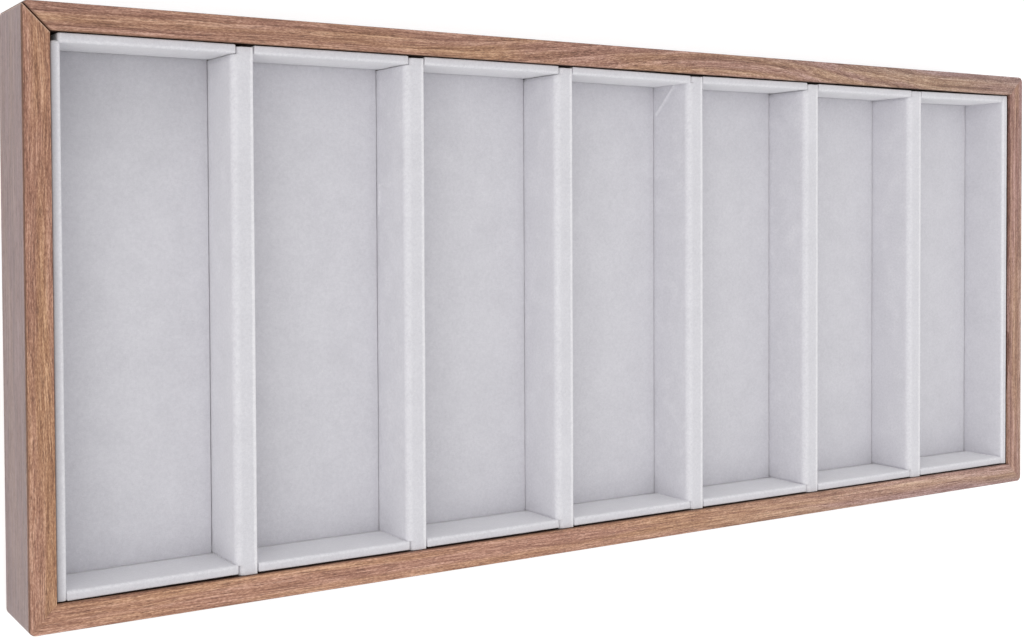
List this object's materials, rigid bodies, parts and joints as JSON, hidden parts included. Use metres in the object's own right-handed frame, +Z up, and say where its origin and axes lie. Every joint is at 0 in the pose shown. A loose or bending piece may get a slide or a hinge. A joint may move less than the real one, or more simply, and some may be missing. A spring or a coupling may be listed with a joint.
{
  "type": "eyeglasses display tray",
  "caption": "Flat display tray for folded eyeglasses: a mitred wood-grain frame round a cloth-covered insert whose lift-out dividers part it into side-by-side lanes.",
  "frame": {"origin": "under the middle of the tray, on the plane that it stands on", "axes": "+X along the tray to the picture's right, +Y across it to the picture's top, +Z up out of the lanes"},
  "size_m": [0.48, 0.2, 0.031],
  "materials": {
    "wood_foil": "satin wood-grain foil over fibreboard",
    "hardboard": "raw hardboard",
    "fibreboard": "raw fibreboard, covered",
    "greyboard": "raw greyboard, covered",
    "suede_cloth": "short-nap microfibre suede",
    "felt": "matt pressed felt",
    "nail_steel": "plain"
  },
  "bodies": {
    "tray": {"rail_front": "wood_foil", "rail_back": "wood_foil", "rail_left": "wood_foil", "rail_right": "wood_foil", "corner_nails": "nail_steel", "base_board": "hardboard", "base_felt": "felt", "lane_pad_1_cloth": "suede_cloth", "lane_pad_1_board": "greyboard", "lane_pad_2_cloth": "suede_cloth", "lane_pad_2_board": "greyboard", "lane_pad_3_cloth": "suede_cloth", "lane_pad_3_board": "greyboard", "lane_pad_4_cloth": "suede_cloth", "lane_pad_4_board": "greyboard", "lane_pad_5_cloth": "suede_cloth", "lane_pad_5_board": "greyboard", "lane_pad_6_cloth": "suede_cloth", "lane_pad_6_board": "greyboard", "lane_pad_7_cloth": "suede_cloth", "lane_pad_7_board": "greyboard", "end_wall_left_cloth": "suede_cloth", "end_wall_left_board": "greyboard", "end_wall_right_cloth": "suede_cloth", "end_wall_right_board": "greyboard", "spacer_front_1_cloth": "suede_cloth", "spacer_front_2_cloth": "suede_cloth", "spacer_front_3_cloth": "suede_cloth", "spacer_front_4_cloth": "suede_cloth", "spacer_front_5_cloth": "suede_cloth", "spacer_front_6_cloth": "suede_cloth", "spacer_front_7_cloth": "suede_cloth", "spacer_front_boards": "greyboard", "spacer_back_1_cloth": "suede_cloth", "spacer_back_2_cloth": "suede_cloth", "spacer_back_3_cloth": "suede_cloth", "spacer_back_4_cloth": "suede_cloth", "spacer_back_5_cloth": "suede_cloth", "spacer_back_6_cloth": "suede_cloth", "spacer_back_7_cloth": "suede_cloth", "spacer_back_boards": "greyboard"},
    "divider_1": {"divider_1_cloth": "suede_cloth", "divider_1_board": "fibreboard"},
    "divider_2": {"divider_2_cloth": "suede_cloth", "divider_2_board": "fibreboard"},
    "divider_3": {"divider_3_cloth": "suede_cloth", "divider_3_board": "fibreboard"},
    "divider_4": {"divider_4_cloth": "suede_cloth", "divider_4_board": "fibreboard"},
    "divider_5": {"divider_5_cloth": "suede_cloth", "divider_5_board": "fibreboard"},
    "divider_6": {"divider_6_cloth": "suede_cloth", "divider_6_board": "fibreboard"}
  },
  "joints": [
    {"name": "divider_1_lift", "type": "slide", "parent": "tray", "child": "divider_1", "axis": [0, 0, 1], "range_m": [0, 0.04]},
    {"name": "divider_2_lift", "type": "slide", "parent": "tray", "child": "divider_2", "axis": [0, 0, 1], "range_m": [0, 0.04]},
    {"name": "divider_3_lift", "type": "slide", "parent": "tray", "child": "divider_3", "axis": [0, 0, 1], "range_m": [0, 0.04]},
    {"name": "divider_4_lift", "type": "slide", "parent": "tray", "child": "divider_4", "axis": [0, 0, 1], "range_m": [0, 0.04]},
    {"name": "divider_5_lift", "type": "slide", "parent": "tray", "child": "divider_5", "axis": [0, 0, 1], "range_m": [0, 0.04]},
    {"name": "divider_6_lift", "type": "slide", "parent": "tray", "child": "divider_6", "axis": [0, 0, 1], "range_m": [0, 0.04]}
  ]
}
